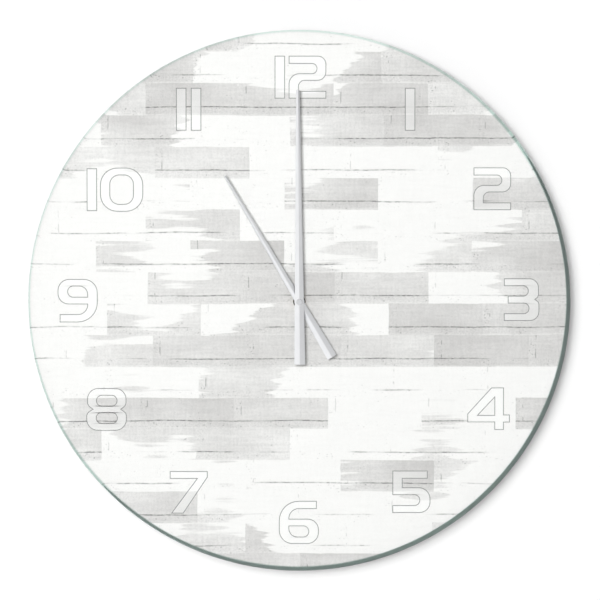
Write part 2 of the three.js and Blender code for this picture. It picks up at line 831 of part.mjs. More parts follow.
const finishes = {
  glass: finish(0xdff1ea, 0.03, 0, 0.35),
  print: finish(0xeeeeec, 0.6),
  foam: finish(0x33363a, 0.95),
  rubber: finish(0xd9dcdb, 0.7),
  hand: finish(0xf2f2f3, 0.35, 0.2),
  blackPlastic: finish(0x1c1d1f, 0.55),
  whitePlastic: finish(0xe8e6df, 0.5),
  amberPlastic: finish(0xd9a441, 0.45),
  steel: finish(0xa9acaf, 0.35, 1),
  brass: finish(0xc8a04a, 0.3, 1),
  copper: finish(0xb5652d, 0.4, 1),
  magnet: finish(0x3a3b3e, 0.4, 0.8),
  board: finish(0x2f6b45, 0.5),
  epoxy: finish(0x101112, 0.3),
  cellJacket: finish(0x2e5e8c, 0.35),
};

const clock = new THREE.Group();
clock.rotation.x = Math.PI / 2;

function place(name, piece, material, parent = clock) {
  const { vertProperties, triVerts } = piece.getMesh();
  const geometry = new THREE.BufferGeometry();
  geometry.setAttribute('position', new THREE.BufferAttribute(vertProperties, 3));
  geometry.setIndex(new THREE.BufferAttribute(triVerts, 1));
  geometry.computeVertexNormals();
  const mesh = new THREE.Mesh(geometry, material);
  mesh.name = name;
  parent.add(mesh);
  return mesh;
}

place('glass_disc', glassDisc(), finishes.glass).position.z = glassBack;
place('print_film', printFilm(), finishes.print);
place('adhesive_pad', adhesivePad(), finishes.foam);
place('spacer_left', spacer(-1), finishes.rubber);
place('spacer_right', spacer(1), finishes.rubber);

place('movement_case', movementCase(), finishes.blackPlastic);
place('movement_cover', movementCover(), finishes.blackPlastic);
place('train_plate', trainPlate(), finishes.whitePlastic);
place('hanger', hanger(), finishes.steel);
place('cell', cell(), finishes.cellJacket);
place('contact_positive', positiveContact(), finishes.steel);
place('contact_negative', negativeContact(), finishes.steel);
place('circuit_board', circuitBoard(), finishes.board);
place('crystal_can', crystalCan(), finishes.steel);
place('chip', chip(), finishes.epoxy);
place('stator', stator(), finishes.steel);
place('coil_core', coilCore(), finishes.steel);
place('coil_bobbin', coilBobbin(), finishes.whitePlastic);
place('coil_winding', coilWinding(), finishes.copper);

place('rotor_magnet', rotorMagnet(), finishes.magnet);
place('rotor_pinion', rotorPinion(), finishes.whitePlastic);
place('intermediate_wheel', intermediateWheel(), finishes.amberPlastic);
place('second_wheel', secondWheel(), finishes.whitePlastic);
place('third_wheel', thirdWheel(), finishes.amberPlastic);
place('centre_wheel', centreWheel(), finishes.whitePlastic);
place('setting_wheel', settingWheel(), finishes.whitePlastic);
place('setting_knob', settingKnob(), finishes.blackPlastic);
place('hour_wheel', hourWheel(), finishes.amberPlastic);
place('minute_arbor', minuteArbor(), finishes.brass);

// Each hand leans a little short of its mark
const minuteHandMesh = place('minute_hand', minuteHand(), finishes.hand);
minuteHandMesh.position.z = minuteHandBack;
minuteHandMesh.rotation.z = THREE.MathUtils.degToRad(minuteLean);
const hourHandMesh = place('hour_hand', hourHand(), finishes.hand);
hourHandMesh.position.z = hourHandBack;
hourHandMesh.rotation.z = -THREE.MathUtils.degToRad(hourShown * 30 - hourLean);
place('hand_cap', handCap(), finishes.hand).position.z = minuteArborFront;

export default clock;
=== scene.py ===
"""Dresses the packed wall clock: glass, print, numerals, hands, housing, cell, works and stage."""

import math
from functools import partial

import bpy
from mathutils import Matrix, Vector


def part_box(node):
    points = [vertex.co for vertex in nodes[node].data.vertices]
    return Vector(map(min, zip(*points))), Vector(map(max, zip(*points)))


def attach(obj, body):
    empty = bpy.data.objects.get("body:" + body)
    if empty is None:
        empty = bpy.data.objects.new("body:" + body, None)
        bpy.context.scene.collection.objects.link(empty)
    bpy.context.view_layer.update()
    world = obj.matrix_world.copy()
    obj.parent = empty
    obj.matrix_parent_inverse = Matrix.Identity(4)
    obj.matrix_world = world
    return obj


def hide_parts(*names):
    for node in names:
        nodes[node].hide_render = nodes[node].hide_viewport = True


bl_info = {
    "name": "Glass wall clock",
    "version": (1, 0, 0),
    "blender": (4, 5, 0),
    "location": "View3D > Sidebar > Wall clock",
    "description": "Models the visible pieces of a frameless glass wall clock around its packed solids",
    "category": "Object",
}

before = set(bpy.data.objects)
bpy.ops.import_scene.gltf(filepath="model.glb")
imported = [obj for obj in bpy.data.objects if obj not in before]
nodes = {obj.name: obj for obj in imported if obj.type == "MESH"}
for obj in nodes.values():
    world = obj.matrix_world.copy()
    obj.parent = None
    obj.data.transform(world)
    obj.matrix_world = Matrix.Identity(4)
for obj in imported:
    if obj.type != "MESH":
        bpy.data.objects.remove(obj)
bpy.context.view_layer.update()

MM = 0.001
WHITE = (1.0, 1.0, 1.0, 1.0)
# Points closer together than this are taken for one; the packed solids need a finer value.
WELD = MM / 500
CAD_WELD = MM / 1000
glass_low, glass_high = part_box("glass_disc")
film_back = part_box("print_film")[1].y
cell_low, cell_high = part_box("cell")


def bore(node):
    """Smallest distance of a node's corners from the hand axis."""
    return min(math.hypot(v.co.x, v.co.z) for v in nodes[node].data.vertices)


def linear(code):
    """Turns an sRGB hex colour into the linear colour that nodes take."""
    parts = [int(code[i : i + 2], 16) / 255 for i in (1, 3, 5)]
    return tuple(p / 12.92 if p <= 0.04045 else ((p + 0.055) / 1.055) ** 2.4 for p in parts) + (1.0,)


# Settings


def length(name, description, default):
    """A length in metres that the panel shows in the scene's unit."""
    return bpy.props.FloatProperty(
        name=name, description=description, default=default, precision=5, unit="LENGTH"
    )


def tint(name, description, code):
    """A colour given as an sRGB hex value."""
    return bpy.props.FloatVectorProperty(
        name=name, description=description, default=linear(code), size=4, min=0, max=1, subtype="COLOR"
    )


def number(name, description, default):
    """A plain number, such as a size in millimetres that a pattern reads."""
    return bpy.props.FloatProperty(name=name, description=description, default=default)


class GlassSettings(bpy.types.PropertyGroup):
    """The glass disc."""

    radius: length("Radius", "Radius of the disc", glass_high.x)
    hole: length("Hole radius", "Radius of the hole for the hands' tube", bore("glass_disc"))
    rim_round: length("Rim rounding", "Radius that both edges of the rim are ground to", 1.9 * MM)
    hole_round: length("Hole rounding", "Radius at the mouth of the hole", 0.4 * MM)
    steps: bpy.props.IntProperty(name="Steps", description="Facets round the disc", default=256, min=32)
    rim_tint: tint("Rim tint", "Colour of the clear margin outside the print", "#C6E3DB")
    rim_share: number("Rim share", "How much of that colour the ground rim takes, 0 to 1", 0.65)
    body_tint: tint("Body tint", "Colour that the glass keeps over a long path", "#BAEEDF")
    body_density: number("Body density", "Strength of the glass's own colour, per metre", 6.5)


class PrintSettings(bpy.types.PropertyGroup):
    """The print behind the glass."""

    radius: length("Radius", "Radius of the printed circle", 148.5 * MM)
    drift: length("Drift", "How far the printed circle sits off the hand axis, up and to the left", 0.9 * MM)
    thickness: length("Thickness", "Thickness of the film that carries the ink", 0.1 * MM)
    course: number("Course", "Height of one course of bricks with its joint, mm", 17.4)
    brick: number("Brick", "Length of one brick with its joint, mm", 52.0)
    joint: number("Joint", "Height of the mortar between two courses, mm", 4.5)
    lit: tint("Lit wash", "Whitewash where it is thick", "#F8F6F5")
    worn: tint("Worn wash", "Whitewash where it is thin", "#CDCAC9")
    joint_ink: tint("Joint line", "The thin shadow under a brick", "#6E6D6B")
    backing: tint("Backing", "The opaque grey back of the film", "#7F8184")


class NumeralSettings(bpy.types.PropertyGroup):
    """The numerals in the print."""

    line: length("Line", "Width of the printed outline", 0.4 * MM)
    layer: length("Layer", "Thickness of the numerals' ink", 0.03 * MM)
    ink: tint("Ink", "Colour of the outline", "#7C7C7B")
    veil: number("Veil", "How much white lies over the brick inside a numeral, 0 to 1", 0.22)


class FinishSettings(bpy.types.PropertyGroup):
    """Edges and colours of the other pieces."""

    easing: length("Easing", "Radius of a moulded or pressed edge", 0.15 * MM)
    hands: tint("Hands", "Anodised aluminium of the hands", "#E2E3E5")
    arbor: tint("Arbor end", "Turned steel at the crossing of the hands", "#D6D7D9")
    arbor_round: length("Arbor rounding", "Radius at the end of the arbor", 0.5 * MM)
    case: tint("Case", "Moulded case of the movement", "#1B1B1D")
    foam: tint("Foam", "Foam tape", "#33353A")
    bumper: tint("Bumper", "Spacers that rest on the wall", "#D9DADA")
    jacket: tint("Jacket", "Plain jacket of the cell", "#2E5F8C")
    acetal: tint("Acetal", "Natural acetal of the wheels", "#E8E5DD")
    amber: tint("Amber", "Tinted acetal", "#D8A33F")


class StageSettings(bpy.types.PropertyGroup):
    """Wall, floor, lamps and camera."""

    wall: tint("Wall", "Plain painted wall", "#FFFFFF")
    floor: tint("Floor", "Pale floor", "#F1F1EF")
    distance: length("Camera distance", "From the camera to the dial", 2.5)
    view_width: length("View width", "Width of the picture at the dial", 331.7 * MM)
    view_side: length("View side", "How far to the right of the hand axis the camera aims", 0.35 * MM)
    view_rise: length("View rise", "How far above the hand axis the camera aims", 0.9 * MM)
    raised: number("Raised", "Degrees that the camera stands above the dial's normal", 4.0)
    turned: number("Turned", "Degrees that the camera stands to the right of it", 0.0)
    key: number("Key lamp", "Share of the light that comes from the key lamp", 0.84)
    fill: number("Fill", "Share of the light that comes from all round", 0.19)
    side: number("Side light", "How much of the fill comes from the upper left, 0 to 1", 0.5)
    sheen: number("Side sheen", "How much brighter the left is for glossy surfaces, 0 to 1", 0.38)
    lift: number("Lift", "Light that the wall itself adds, so that it shows as white", 0.02)
    glow: number("Floor glow", "Light that the floor itself adds, for views from behind", 0.4)
    back: number("Back lamp", "Share of the light on the clock's back, for views from behind", 0.9)
    key_size: length("Key size", "Width of the key lamp, which sets how soft the shadows are", 0.576)
    gap: length("Wall gap", "From the back of the clock to the wall", 0.5 * MM)
    drop: length("Floor drop", "How far the floor lies below the hand axis", 1.4)


# Modelling helpers


def activate(piece):
    """Makes one object the only selected and active one."""
    bpy.ops.object.select_all(action="DESELECT")
    piece.select_set(True)
    bpy.context.view_layer.objects.active = piece


def assign(piece, materials, choose):
    """Gives each face of a finished piece one of its materials."""
    piece.data.materials.clear()
    for material in materials:
        piece.data.materials.append(material)
    for face in piece.data.polygons:
        face.material_index = choose(face)


def modify(piece, kind, **settings):
    """Adds a modifier and applies it."""
    activate(piece)
    modifier = piece.modifiers.new(kind.title(), kind)
    for name, value in settings.items():
        setattr(modifier, name, value)
    bpy.ops.object.modifier_apply(modifier=modifier.name)


def settle(piece, name, body, stands_for=(), smooth=35, flat_faces=False):
    """Names a finished piece, smooths it, hangs it under its body and hides the nodes that it stands for.

    With flat_faces, large flat faces shade flat right up to their eased edges.
    """
    activate(piece)
    bpy.ops.object.transform_apply(location=True, rotation=True, scale=True)
    bpy.ops.object.shade_smooth_by_angle(angle=math.radians(smooth))
    if flat_faces:
        modify(piece, "WEIGHTED_NORMAL", keep_sharp=True)
    piece.name = name
    piece.data.name = name
    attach(piece, body)
    if stands_for:
        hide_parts(*stands_for)


def outline(corners, facets=6, support=0.0):
    """Points of a closed outline, from corners given as (x, y) or (x, y, rounding).

    support puts one more point that far before and after each rounding, so that flat faces stay flat.
    """
    points = []
    for i, corner in enumerate(corners):
        here = Vector(corner[:2])
        rounding = corner[2] if len(corner) > 2 else 0
        if not rounding:
            points.append(here)
            continue
        back = (Vector(corners[i - 1][:2]) - here).normalized()
        ahead = (Vector(corners[(i + 1) % len(corners)][:2]) - here).normalized()
        half = back.angle(ahead) / 2
        run = rounding / math.tan(half)
        centre = here + (back + ahead).normalized() * rounding / math.sin(half)
        start = here + back * run - centre
        turn = math.pi - 2 * half
        if back.cross(ahead) > 0:
            turn = -turn
        if support:
            points.append(here + back * (run + support))
        for step in range(facets + 1):
            angle = turn * step / facets
            cosine, sine = math.cos(angle), math.sin(angle)
            swept = Vector((start.x * cosine - start.y * sine, start.x * sine + start.y * cosine))
            points.append(centre + swept)
        if support:
            points.append(here + ahead * (run + support))
    return points


def turned(points, steps, centre, axis, closed=True):
    """A turned form: a chain of points extruded one from the next, then spun about an axis.

    Without closed, the chain starts and ends on the axis.
    """
    bpy.ops.object.select_all(action="DESELECT")
    bpy.ops.mesh.primitive_plane_add(size=MM)
    piece = bpy.context.object
    bpy.ops.object.mode_set(mode="EDIT")
    bpy.ops.mesh.select_all(action="SELECT")
    bpy.ops.mesh.merge(type="CENTER")
    bpy.ops.transform.translate(value=points[0])
    for before, after in zip(points, points[1:] + (points[:1] if closed else [])):
        bpy.ops.mesh.extrude_region_move(TRANSFORM_OT_translate={"value": after - before})
    bpy.ops.mesh.select_all(action="SELECT")
    bpy.ops.mesh.remove_doubles(threshold=WELD)
    bpy.ops.mesh.select_all(action="SELECT")
    bpy.ops.mesh.spin(steps=steps, angle=math.tau, center=centre, axis=axis, use_auto_merge=True)
    bpy.ops.mesh.select_all(action="SELECT")
    bpy.ops.mesh.remove_doubles(threshold=WELD)
    bpy.ops.mesh.normals_make_consistent(inside=False)
    bpy.ops.object.mode_set(mode="OBJECT")
    return piece


def eased_copy(node, width, angle=30, segments=2):
    """A copy of a solid, its triangles merged to faces and its edges eased."""
    piece = bpy.data.objects.new(node, nodes[node].data.copy())
    bpy.context.scene.collection.objects.link(piece)
    activate(piece)
    bpy.ops.object.mode_set(mode="EDIT")
    bpy.ops.mesh.select_all(action="SELECT")
    bpy.ops.mesh.remove_doubles(threshold=CAD_WELD)
    bpy.ops.mesh.dissolve_limited(angle_limit=math.radians(0.5))
    bpy.ops.object.mode_set(mode="OBJECT")
    modify(
        piece, "BEVEL", width=width, segments=segments, limit_method="ANGLE", angle_limit=math.radians(angle)
    )
    return piece


# Material helpers


def new_tree(name):
    """A material with an empty node tree."""
    material = bpy.data.materials.new(name)
    material.use_nodes = True
    material.node_tree.nodes.clear()
    return material, material.node_tree


def add_node(tree, kind, inputs=None, **settings):
    """Adds a node, makes its settings, and fills or links its inputs, each by name or number."""
    node = tree.nodes.new(kind)
    for name, value in settings.items():
        setattr(node, name, value)
    for name, value in (inputs or {}).items():
        if isinstance(value, bpy.types.NodeSocket):
            tree.links.new(value, node.inputs[name])
        else:
            node.inputs[name].default_value = value
    return node


def maths(tree, operation, *values):
    """One sum on numbers."""
    return add_node(tree, "ShaderNodeMath", dict(enumerate(values)), operation=operation).outputs[0]


def vectors(tree, operation, *values, output="Vector"):
    """One sum on vectors; with output "Value" its result is a number."""
    node = add_node(tree, "ShaderNodeVectorMath", dict(enumerate(values)), operation=operation)
    return node.outputs[output]


def scaled(tree, vector, factor):
    """A vector times a number."""
    inputs = {0: vector, "Scale": factor}
    return add_node(tree, "ShaderNodeVectorMath", inputs, operation="SCALE").outputs[0]


def spread(tree, value, low, high, start=0.0, end=1.0, curve="LINEAR"):
    """Turns the range from low to high into the one from start to end, and stays inside it."""
    inputs = {0: value, "From Min": low, "From Max": high, "To Min": start, "To Max": end}
    return add_node(tree, "ShaderNodeMapRange", inputs, interpolation_type=curve).outputs[0]


def mottle(tree, vector, size, detail=2.0, output=0):
    """Noise whose largest features have the given size; output 1 is its colour."""
    inputs = {"Vector": vector, "Scale": 1 / size, "Detail": detail}
    return add_node(tree, "ShaderNodeTexNoise", inputs).outputs[output]


def mixed(tree, share, first, second):
    """The first colour where share is 0 and the second where it is 1."""
    inputs = {0: share, 6: first, 7: second}
    return add_node(tree, "ShaderNodeMix", inputs, data_type="RGBA").outputs[2]


def millimetres(tree):
    """Object coordinates as millimetres."""
    return scaled(tree, add_node(tree, "ShaderNodeTexCoord").outputs["Object"], 1 / MM)


def finish(
    name, colour, roughness, grain, shade=0.06, relief=0.0, metallic=0.0, stretch=(1, 1, 1), **sockets
):
    """A surface with an even grain: its tone, its sheen and its relief all follow the same noise.

    grain is the size of the grain in millimetres, and shade how far the tone falls where the noise is low,
    which is painted shade in the hollows of the relief, and a random tone in the broad cloud of the noise.
    relief is its depth in millimetres, and stretch draws it out along an axis.
    """
    material, tree = new_tree(name)
    place = add_node(tree, "ShaderNodeMapping", {"Vector": millimetres(tree), "Scale": stretch}).outputs[0]
    cloud_share, sheen_swing = 18, 0.12
    fine = mottle(tree, place, grain, 4.0)
    broad = mottle(tree, place, grain * cloud_share)
    # Each noise swings about 0.5, and their sum lies mostly between 0.7 and 1.3.
    level = spread(tree, maths(tree, "ADD", fine, broad), 0.7, 1.3)
    # Painted shade: the tone darkens where the fine noise, which also sets the relief, is low.
    hollow_shade = tuple(c * (1 - shade) ** 2 for c in colour[:3]) + (1.0,)
    tone = mixed(tree, level, hollow_shade, tuple(colour))
    duller, glossier = roughness * (1 + sheen_swing), roughness * (1 - sheen_swing)
    sheen = spread(tree, fine, 0.0, 1.0, duller, glossier)
    inputs = {"Base Color": tone, "Roughness": sheen, "Metallic": metallic}
    if relief:
        bump = {"Height": fine, "Distance": relief * MM, "Strength": 1.0}
        inputs["Normal"] = add_node(tree, "ShaderNodeBump", bump).outputs[0]
    inputs.update(sockets)
    shader = add_node(tree, "ShaderNodeBsdfPrincipled", inputs).outputs[0]
    add_node(tree, "ShaderNodeOutputMaterial", {"Surface": shader})
    return material


def float_glass(name, glass, look):
    """Soda-lime float glass: clear face on, and green where light has run far inside it.

    Its faces are fire-polished and next to perfectly smooth. The rim was ground and then polished, so it is
    a little duller and shows part of the green of light from inside the sheet. The clear margin outside the
    print shows all of it.
    """
    material, tree = new_tree(name)
    place = millimetres(tree)

    def out(corner):
        """Distance in the disc's plane from a point that far up and to the left of the middle."""
        shifted = vectors(tree, "MULTIPLY_ADD", place, (1, 0, 1), (corner, 0, -corner))
        return vectors(tree, "LENGTH", shifted, output="Value")

    edge = (glass.radius - glass.rim_round) / MM
    margin = look.radius / MM
    faces, rim, waver = 0.004, 0.08, 12
    duller = spread(tree, out(0), edge, edge + 0.4, faces, rim)
    polish = maths(tree, "MULTIPLY", mottle(tree, place, waver), duller)
    beyond_print = spread(tree, out(look.drift / MM / math.sqrt(2)), margin - 0.6, margin + 0.2)
    at_rim = spread(tree, out(0), edge + 0.3, edge + 1.2, 0.0, glass.rim_share)
    colour = mixed(tree, maths(tree, "MAXIMUM", beyond_print, at_rim), WHITE, tuple(glass.rim_tint))
    inputs = {"Base Color": colour, "Roughness": polish, "IOR": 1.52, "Transmission Weight": 1.0}
    clear = add_node(tree, "ShaderNodeBsdfPrincipled", inputs).outputs[0]
    # Light on its way to the print goes straight through, a little dimmed but not coloured.
    grey = add_node(tree, "ShaderNodeRGBToBW", {0: colour}).outputs[0]
    through = add_node(tree, "ShaderNodeBsdfTransparent", {"Color": grey}).outputs[0]
    path = add_node(tree, "ShaderNodeLightPath").outputs
    lighting = maths(tree, "MAXIMUM", path["Is Shadow Ray"], path["Is Diffuse Ray"])
    surface = add_node(tree, "ShaderNodeMixShader", {0: lighting, 1: clear, 2: through}).outputs[0]
    body = {"Color": tuple(glass.body_tint), "Density": glass.body_density}
    volume = add_node(tree, "ShaderNodeVolumeAbsorption", body).outputs[0]
    add_node(tree, "ShaderNodeOutputMaterial", {"Surface": surface, "Volume": volume})
    return material


def brick_print(name, look, veil=0.0):
    """Ink on film: a whitewashed wall in running bond, photographed flat, with no relief of its own.

    Under each brick lies a thin broken shadow, the mortar is rougher and pitted, and brush marks run along
    the courses. The wash is thick on some bricks and thin on others. veil lays white over it and thins its
    lines out, inside the numerals. Sizes are in millimetres.
    """
    material, tree = new_tree(name)
    math_node = partial(maths, tree)
    noise = partial(mottle, tree)
    blend = partial(mixed, tree)
    ramp = partial(spread, tree, curve="SMOOTHSTEP")
    flat = millimetres(tree)

    def stretched(x, z):
        """The print's plane scaled by axis; a factor below 1 draws a pattern out along that axis."""
        return add_node(tree, "ShaderNodeMapping", {"Vector": flat, "Scale": (x, 1.0, z)}).outputs[0]

    def near(value, line, inner, outer):
        """1 within inner of a line and 0 beyond outer."""
        return ramp(math_node("ABSOLUTE", math_node("SUBTRACT", value, line)), inner, outer, 1.0, 0.0)

    def swing(value, amount):
        """A noise about zero."""
        return math_node("MULTIPLY", math_node("SUBTRACT", value, 0.5), amount)

    def chance(vector, dimensions):
        """A random number for each whole number or pair of them."""
        inputs = {"W" if dimensions == "1D" else "Vector": vector}
        node = add_node(tree, "ShaderNodeTexWhiteNoise", inputs, noise_dimensions=dimensions)
        return node.outputs["Value"]

    # How large the features of each mark are
    patch, blotch, brush, stroke = 95, 16, 9, 1.3
    gap, head_gap, speck = 11, 6, 2.5
    pitted, pit, sand, crumb = 5, 1.5, 1.2, 0.9
    # The size of each bend in the hand-laid edges, and how far it strays
    bends = ((60, 2.2), (9, 0.6), (1.2, 0.4))
    # Distances along a brick from its start: the joint's middle, half its width, and the line past it
    head_middle, head_half, head_line_at = 2.0, 1.4, 4.0
    first_course = -506.0

    # Where the courses and bricks lie.
    place = flat
    for size, reach in bends:
        wander = vectors(tree, "SUBTRACT", noise(flat, size, output=1), (0.5, 0.5, 0.5))
        place = vectors(tree, "ADD", place, scaled(tree, wander, reach))
    parts = add_node(tree, "ShaderNodeSeparateXYZ", {0: place}).outputs
    courses = math_node("DIVIDE", math_node("SUBTRACT", parts["Z"], first_course), look.course)
    row = math_node("FLOOR", courses)
    rise = math_node("MULTIPLY", math_node("FRACT", courses), look.course)
    shift = math_node("MULTIPLY", chance(row, "1D"), look.brick / 4)
    slide = math_node("MULTIPLY_ADD", row, look.brick / 2, shift)
    bricks = math_node("DIVIDE", math_node("ADD", parts["X"], slide), look.brick)
    along = math_node("MULTIPLY", math_node("FRACT", bricks), look.brick)
    which = add_node(tree, "ShaderNodeCombineXYZ", {0: row, 1: math_node("FLOOR", bricks)}).outputs[0]
    brick_chance = chance(which, "2D")

    # How thin the wash is: whole bricks differ, and the brush leaves ragged ends along the course.
    brushed = noise(stretched(0.14, 2.2), brush, 6.0)
    cover = math_node("ADD", noise(flat, patch, 1.0), swing(brick_chance, 0.3))
    cover = math_node("ADD", cover, swing(brushed, 0.2))
    second_chance = math_node("FRACT", math_node("MULTIPLY", brick_chance, 7.31))
    depth = math_node("ADD", ramp(cover, 0.47, 0.68, 0.4, 0.72), swing(second_chance, 0.36))
    depth = math_node("ADD", depth, swing(noise(stretched(0.5, 1.0), blotch, 5.0), 0.9))
    worn = ramp(cover, 0.475, 0.49)
    # The wash is thicker along the foot of each course.
    foot = near(rise, 0.5, 0.1, 0.7)
    depth = math_node("MULTIPLY", depth, math_node("MULTIPLY_ADD", foot, -0.3, 1.0))
    wash = blend(math_node("MULTIPLY", worn, depth), tuple(look.lit), tuple(look.worn))

    # Joints: a broken line, pitted mortar under it, and now and then a line between two bricks.
    mortar_top = ramp(rise, look.joint - 0.6, look.joint, 1.0, 0.0)
    mortar = math_node("MULTIPLY", mortar_top, ramp(rise, 0.0, 1.2, 0.2, 1.0))
    gone = math_node("ADD", noise(stretched(0.25, 1.0), gap, 3.0), swing(brick_chance, 0.2))
    bed_line = math_node("MULTIPLY", near(rise, look.joint, 0.08, 0.5), ramp(gone, 0.41, 0.55))
    bed_line = math_node("MULTIPLY", bed_line, ramp(noise(flat, speck, 3.0), 0.35, 0.6, 0.45, 1.0))
    on_brick = ramp(rise, look.joint, look.joint + 0.8)
    seldom = ramp(noise(flat, head_gap, 3.0), 0.5, 0.58)
    head_line = math_node("MULTIPLY", near(along, head_line_at, 0.05, 0.45), seldom)
    head_line = math_node("MULTIPLY", head_line, on_brick)
    head = math_node("MULTIPLY", near(along, head_middle, head_half, head_half + 1.0), on_brick)
    joint = math_node("MAXIMUM", mortar, head)
    inputs = {"Vector": stretched(0.7, 1.0), "Scale": 1 / pit}
    cells = add_node(tree, "ShaderNodeTexVoronoi", inputs).outputs["Distance"]
    near_joint = math_node("MULTIPLY_ADD", joint, 0.14, noise(flat, pitted, 3.0))
    pits = math_node("MULTIPLY", ramp(cells, 0.12, 0.3, 1.0, 0.0), ramp(near_joint, 0.6, 0.72))

    # Fine marks, all fainter where the wash is thick: strokes both ways, grain, and rough mortar.
    strokes = swing(noise(stretched(0.09, 1.0), stroke, 4.0), 0.3)
    strokes = math_node("ADD", strokes, swing(noise(stretched(1.0, 0.12), stroke, 4.0), 0.22))
    grain = math_node("ADD", swing(noise(flat, sand, 4.0), 0.34), strokes)
    rough = math_node("MULTIPLY", swing(noise(flat, crumb, 3.0), 0.6), joint)
    even_shade = 0.09
    shade = math_node("ADD", math_node("ADD", grain, rough), even_shade)
    shade = math_node("MULTIPLY", shade, math_node("MULTIPLY_ADD", worn, 0.72, 0.28))
    for mark, more_if_worn, least in ((pits, 0.2, 0.25), (head_line, 0.25, 0.3), (bed_line, 0.1, 0.8)):
        strength = math_node("MULTIPLY_ADD", worn, more_if_worn, least)
        shade = math_node("MULTIPLY_ADD", mark, strength, shade)

    # Inside a numeral the lines fade much faster than the wash does.
    fading = 7
    shade = math_node("MULTIPLY", shade, (1 - veil) ** fading)
    drawn = blend(shade, wash, tuple(look.joint_ink))
    inputs = {"Base Color": blend(veil, drawn, WHITE), "Roughness": 0.55, "Specular IOR Level": 0.2}
    shader = add_node(tree, "ShaderNodeBsdfPrincipled", inputs).outputs[0]
    add_node(tree, "ShaderNodeOutputMaterial", {"Surface": shader})
    return material


# Builders


def build_glass(scene):
    """Turns the disc from its section: two flat faces with a pencil-ground rim between them."""
    glass = scene.wall_clock_glass
    section = [
        (glass.hole, glass_high.y, glass.hole_round),
        (glass.radius, glass_high.y, glass.rim_round),
        (glass.radius, glass_low.y, glass.rim_round),
        (glass.hole, glass_low.y, glass.hole_round),
    ]
    points = [p.to_3d() for p in outline(section, facets=10, support=0.1 * MM)]
    disc = turned(points, glass.steps, (0, 0, 0), (0, 1, 0))
    assign(disc, [float_glass("float_glass", glass, scene.wall_clock_print)], lambda face: 0)
    settle(disc, "disc", "clock_body", ["glass_disc"])


def build_print(scene):
    """Bridges two circles to a ring and gives the film its thickness."""
    look = scene.wall_clock_print
    glass = scene.wall_clock_glass
    corner = look.drift / math.sqrt(2)
    flat = (math.pi / 2, 0, 0)
    bpy.ops.object.select_all(action="DESELECT")
    bpy.ops.mesh.primitive_circle_add(
        vertices=glass.steps, radius=look.radius, location=(-corner, film_back, corner), rotation=flat
    )
    film = bpy.context.object
    bpy.ops.object.transform_apply(location=True, rotation=True, scale=True)
    bpy.ops.object.mode_set(mode="EDIT")
    bpy.ops.mesh.primitive_circle_add(
        vertices=glass.steps, radius=glass.hole, location=(0, film_back, 0), rotation=flat
    )
    bpy.ops.mesh.select_all(action="SELECT")
    bpy.ops.mesh.bridge_edge_loops()
    bpy.ops.mesh.select_all(action="SELECT")
    bpy.ops.mesh.normals_make_consistent(inside=False)
    bpy.ops.object.mode_set(mode="OBJECT")
    if film.data.polygons[0].normal.y > 0:
        film.data.flip_normals()
    modify(film, "SOLIDIFY", thickness=look.thickness, offset=1.0)
    # The back of a printed film is plain grey vinyl that no light comes through, matt and even.
    backing = finish("grey_vinyl_film", look.backing, 0.5, grain=0.6, shade=0.03)
    materials = [brick_print("printed_brick", look), backing]
    assign(film, materials, lambda face: 0 if face.normal.y < -0.5 else 1)
    settle(film, "print", "clock_body", ["print_film"])


